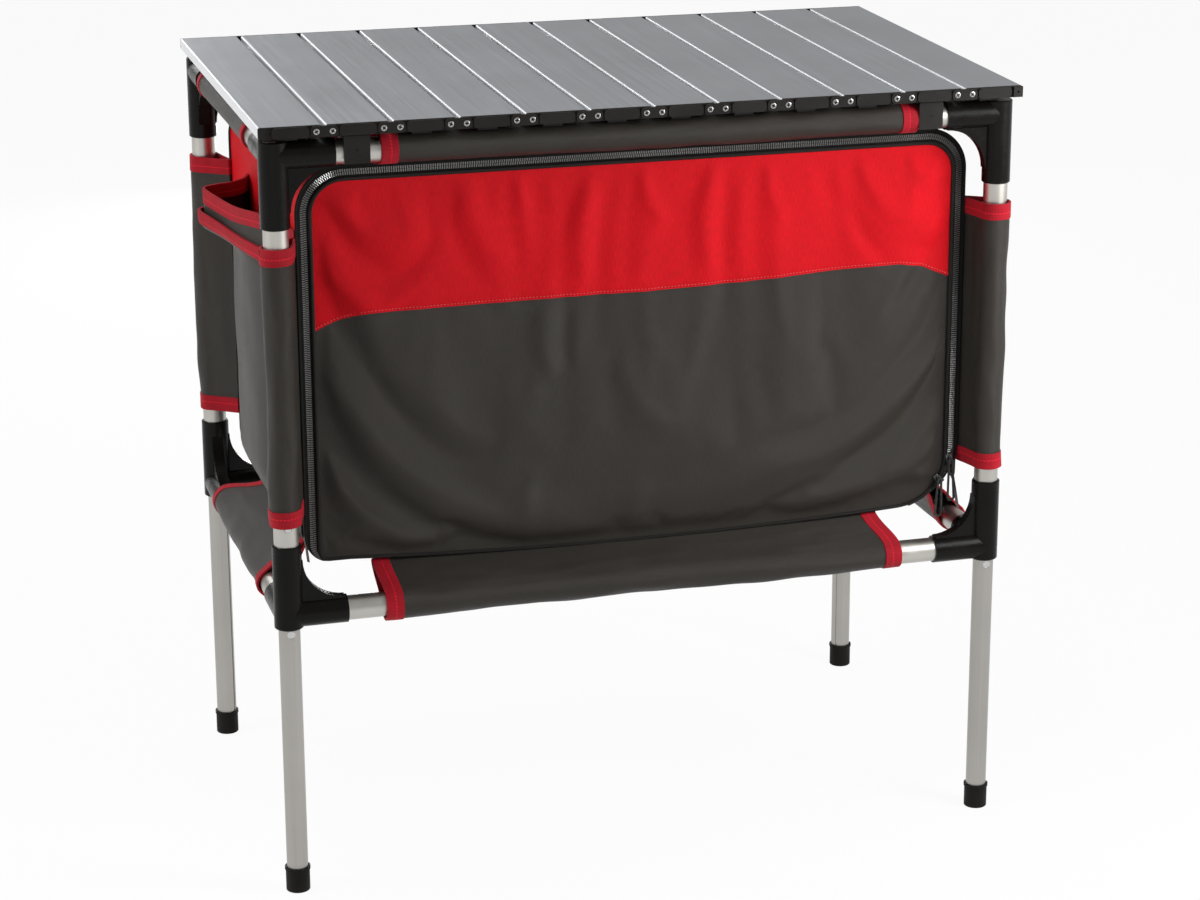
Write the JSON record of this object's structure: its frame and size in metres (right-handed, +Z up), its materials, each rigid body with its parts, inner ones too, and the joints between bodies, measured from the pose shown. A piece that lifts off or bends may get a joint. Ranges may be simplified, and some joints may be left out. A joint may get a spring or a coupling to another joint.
{
  "type": "camp table with organizer",
  "caption": "Folding camp table with a roll-up slatted aluminium top, telescoping legs and a zipped fabric organizer with side pockets hung inside the frame",
  "frame": {"origin": "on the floor, under the middle of the table top", "axes": "+X runs along the long side of the top, to the right seen from the front flap, +Y runs to the back, +Z is up"},
  "size_m": [0.8386, 0.5, 0.815],
  "materials": {
    "slat_aluminium": "satin anodised, fine lengthwise brushing",
    "leg_aluminium": "satin mill finish",
    "painted_tube": "warm light grey, satin",
    "black_plastic": "moulded black, low sheen",
    "black_rubber": "matt black",
    "spring_steel": "bright steel",
    "red_fabric": "coated plain-weave polyester, red",
    "charcoal_fabric": "coated plain-weave polyester, charcoal",
    "zip_black": "woven tape with a coil chain",
    "black_metal": "black lacquer",
    "cord_black": "rubberised cord"
  },
  "bodies": {
    "frame": {"upper_posts": "painted_tube", "top_connectors": "black_plastic", "lower_connectors": "black_plastic", "top_rails": "painted_tube", "lower_rails": "painted_tube", "organizer_shell": "red_fabric", "organizer_sleeves": "charcoal_fabric", "side_pockets": "charcoal_fabric"},
    "leg_front_left": {"lower_leg_front_left": "leg_aluminium", "leg_foot_front_left": "black_rubber"},
    "button_front_left": {"snap_button_front_left": "spring_steel"},
    "leg_front_right": {"lower_leg_front_right": "leg_aluminium", "leg_foot_front_right": "black_rubber"},
    "button_front_right": {"snap_button_front_right": "spring_steel"},
    "leg_rear_left": {"lower_leg_rear_left": "leg_aluminium", "leg_foot_rear_left": "black_rubber"},
    "button_rear_left": {"snap_button_rear_left": "spring_steel"},
    "leg_rear_right": {"lower_leg_rear_right": "leg_aluminium", "leg_foot_rear_right": "black_rubber"},
    "button_rear_right": {"snap_button_rear_right": "spring_steel"},
    "slat_body_01": {"slat_01": "slat_aluminium", "slat_caps_01": "black_plastic"},
    "slat_body_02": {"slat_02": "slat_aluminium", "slat_caps_02": "black_plastic"},
    "slat_body_03": {"slat_03": "slat_aluminium", "slat_caps_03": "black_plastic"},
    "slat_body_04": {"slat_04": "slat_aluminium", "slat_caps_04": "black_plastic"},
    "slat_body_05": {"slat_05": "slat_aluminium", "slat_caps_05": "black_plastic"},
    "slat_body_06": {"slat_06": "slat_aluminium", "slat_caps_06": "black_plastic"},
    "slat_body_07": {"slat_07": "slat_aluminium", "slat_caps_07": "black_plastic"},
    "slat_body_08": {"slat_08": "slat_aluminium", "slat_caps_08": "black_plastic"},
    "slat_body_09": {"slat_09": "slat_aluminium", "slat_caps_09": "black_plastic"},
    "slat_body_10": {"slat_10": "slat_aluminium", "slat_caps_10": "black_plastic"},
    "slat_body_11": {"slat_11": "slat_aluminium", "slat_caps_11": "black_plastic"},
    "slat_body_12": {"slat_12": "slat_aluminium", "slat_caps_12": "black_plastic"},
    "link_body_01": {"links_01": "black_plastic"},
    "link_body_02": {"links_02": "black_plastic"},
    "link_body_03": {"links_03": "black_plastic"},
    "link_body_04": {"links_04": "black_plastic"},
    "link_body_05": {"links_05": "black_plastic"},
    "link_body_06": {"links_06": "black_plastic"},
    "link_body_07": {"links_07": "black_plastic"},
    "link_body_08": {"links_08": "black_plastic"},
    "link_body_09": {"links_09": "black_plastic"},
    "link_body_10": {"links_10": "black_plastic"},
    "link_body_11": {"links_11": "black_plastic"},
    "flap": {"front_flap": "charcoal_fabric", "flap_zipper": "zip_black"},
    "slider": {"zip_slider": "black_metal"},
    "upper_pull": {"zip_pull_upper": "cord_black"},
    "lower_pull": {"zip_pull_lower": "cord_black"}
  },
  "joints": [
    {"name": "leg_slide_front_left", "type": "slide", "parent": "frame", "child": "leg_front_left", "axis": [0, 0, 1], "range_m": [0, 0.255], "deforming": ["snap_button_front_left"]},
    {"name": "button_press_front_left", "type": "slide", "parent": "leg_front_left", "child": "button_front_left", "axis": [0, 1, 0], "range_m": [0, 0.0038], "stiffness_N_per_m": 800},
    {"name": "leg_slide_front_right", "type": "slide", "parent": "frame", "child": "leg_front_right", "axis": [0, 0, 1], "range_m": [0, 0.255], "deforming": ["snap_button_front_right"]},
    {"name": "button_press_front_right", "type": "slide", "parent": "leg_front_right", "child": "button_front_right", "axis": [0, 1, 0], "range_m": [0, 0.0038], "stiffness_N_per_m": 800},
    {"name": "leg_slide_rear_left", "type": "slide", "parent": "frame", "child": "leg_rear_left", "axis": [0, 0, 1], "range_m": [0, 0.255], "deforming": ["snap_button_rear_left"]},
    {"name": "button_press_rear_left", "type": "slide", "parent": "leg_rear_left", "child": "button_rear_left", "axis": [0, -1, 0], "range_m": [0, 0.0038], "stiffness_N_per_m": 800},
    {"name": "leg_slide_rear_right", "type": "slide", "parent": "frame", "child": "leg_rear_right", "axis": [0, 0, 1], "range_m": [0, 0.255], "deforming": ["snap_button_rear_right"]},
    {"name": "button_press_rear_right", "type": "slide", "parent": "leg_rear_right", "child": "button_rear_right", "axis": [0, -1, 0], "range_m": [0, 0.0038], "stiffness_N_per_m": 800},
    {"name": "top_lift", "type": "slide", "parent": "frame", "child": "slat_body_02", "axis": [0, 0, 1], "range_m": [0, 0.06]},
    {"name": "seam_01_near", "type": "hinge", "parent": "slat_body_02", "child": "link_body_01", "pos_m": [-0.32533, 0, 0.809], "axis": [0, 1, 0], "range_deg": [0, 20]},
    {"name": "seam_01_far", "type": "hinge", "parent": "link_body_01", "child": "slat_body_01", "pos_m": [-0.34133, 0, 0.809], "axis": [0, 1, 0], "range_deg": [0, 20]},
    {"name": "seam_02_near", "type": "hinge", "parent": "slat_body_02", "child": "link_body_02", "pos_m": [-0.27467, 0, 0.809], "axis": [0, -1, 0], "range_deg": [0, 22]},
    {"name": "seam_02_far", "type": "hinge", "parent": "link_body_02", "child": "slat_body_03", "pos_m": [-0.25867, 0, 0.809], "axis": [0, -1, 0], "range_deg": [0, 22]},
    {"name": "seam_03_near", "type": "hinge", "parent": "slat_body_03", "child": "link_body_03", "pos_m": [-0.208, 0, 0.809], "axis": [0, -1, 0], "range_deg": [0, 17]},
    {"name": "seam_03_far", "type": "hinge", "parent": "link_body_03", "child": "slat_body_04", "pos_m": [-0.192, 0, 0.809], "axis": [0, -1, 0], "range_deg": [0, 17]},
    {"name": "seam_04_near", "type": "hinge", "parent": "slat_body_04", "child": "link_body_04", "pos_m": [-0.14133, 0, 0.809], "axis": [0, -1, 0], "range_deg": [0, 24]},
    {"name": "seam_04_far", "type": "hinge", "parent": "link_body_04", "child": "slat_body_05", "pos_m": [-0.12533, 0, 0.809], "axis": [0, -1, 0], "range_deg": [0, 24]},
    {"name": "seam_05_near", "type": "hinge", "parent": "slat_body_05", "child": "link_body_05", "pos_m": [-0.07467, 0, 0.809], "axis": [0, -1, 0], "range_deg": [0, 20]},
    {"name": "seam_05_far", "type": "hinge", "parent": "link_body_05", "child": "slat_body_06", "pos_m": [-0.05867, 0, 0.809], "axis": [0, -1, 0], "range_deg": [0, 20]},
    {"name": "seam_06_near", "type": "hinge", "parent": "slat_body_06", "child": "link_body_06", "pos_m": [-0.008, 0, 0.809], "axis": [0, -1, 0], "range_deg": [0, 21]},
    {"name": "seam_06_far", "type": "hinge", "parent": "link_body_06", "child": "slat_body_07", "pos_m": [0.008, 0, 0.809], "axis": [0, -1, 0], "range_deg": [0, 21]},
    {"name": "seam_07_near", "type": "hinge", "parent": "slat_body_07", "child": "link_body_07", "pos_m": [0.05867, 0, 0.809], "axis": [0, -1, 0], "range_deg": [0, 28]},
    {"name": "seam_07_far", "type": "hinge", "parent": "link_body_07", "child": "slat_body_08", "pos_m": [0.07467, 0, 0.809], "axis": [0, -1, 0], "range_deg": [0, 28]},
    {"name": "seam_08_near", "type": "hinge", "parent": "slat_body_08", "child": "link_body_08", "pos_m": [0.12533, 0, 0.809], "axis": [0, -1, 0], "range_deg": [0, 27]},
    {"name": "seam_08_far", "type": "hinge", "parent": "link_body_08", "child": "slat_body_09", "pos_m": [0.14133, 0, 0.809], "axis": [0, -1, 0], "range_deg": [0, 27]},
    {"name": "seam_09_near", "type": "hinge", "parent": "slat_body_09", "child": "link_body_09", "pos_m": [0.192, 0, 0.809], "axis": [0, -1, 0], "range_deg": [0, 35]},
    {"name": "seam_09_far", "type": "hinge", "parent": "link_body_09", "child": "slat_body_10", "pos_m": [0.208, 0, 0.809], "axis": [0, -1, 0], "range_deg": [0, 35]},
    {"name": "seam_10_near", "type": "hinge", "parent": "slat_body_10", "child": "link_body_10", "pos_m": [0.25867, 0, 0.809], "axis": [0, -1, 0], "range_deg": [0, 41]},
    {"name": "seam_10_far", "type": "hinge", "parent": "link_body_10", "child": "slat_body_11", "pos_m": [0.27467, 0, 0.809], "axis": [0, -1, 0], "range_deg": [0, 41]},
    {"name": "seam_11_near", "type": "hinge", "parent": "slat_body_11", "child": "link_body_11", "pos_m": [0.32533, 0, 0.809], "axis": [0, -1, 0], "range_deg": [0, 45]},
    {"name": "seam_11_far", "type": "hinge", "parent": "link_body_11", "child": "slat_body_12", "pos_m": [0.34133, 0, 0.809], "axis": [0, -1, 0], "range_deg": [0, 45]},
    {"name": "flap_open", "type": "hinge", "parent": "frame", "child": "flap", "pos_m": [0, -0.201, 0.3513], "axis": [1, 0, 0], "range_deg": [0, 100]},
    {"name": "slider_run", "type": "slide", "parent": "flap", "child": "slider", "axis": [0.0063, 0, 1], "range_m": [0, 0.3]},
    {"name": "upper_pull_swing", "type": "hinge", "parent": "slider", "child": "upper_pull", "pos_m": [0.3465, -0.20585, 0.4], "axis": [-1, 0, 0], "range_deg": [0, 90]},
    {"name": "lower_pull_swing", "type": "hinge", "parent": "flap", "child": "lower_pull", "pos_m": [0.334, -0.20585, 0.379], "axis": [-1, 0, 0], "range_deg": [0, 60]}
  ]
}
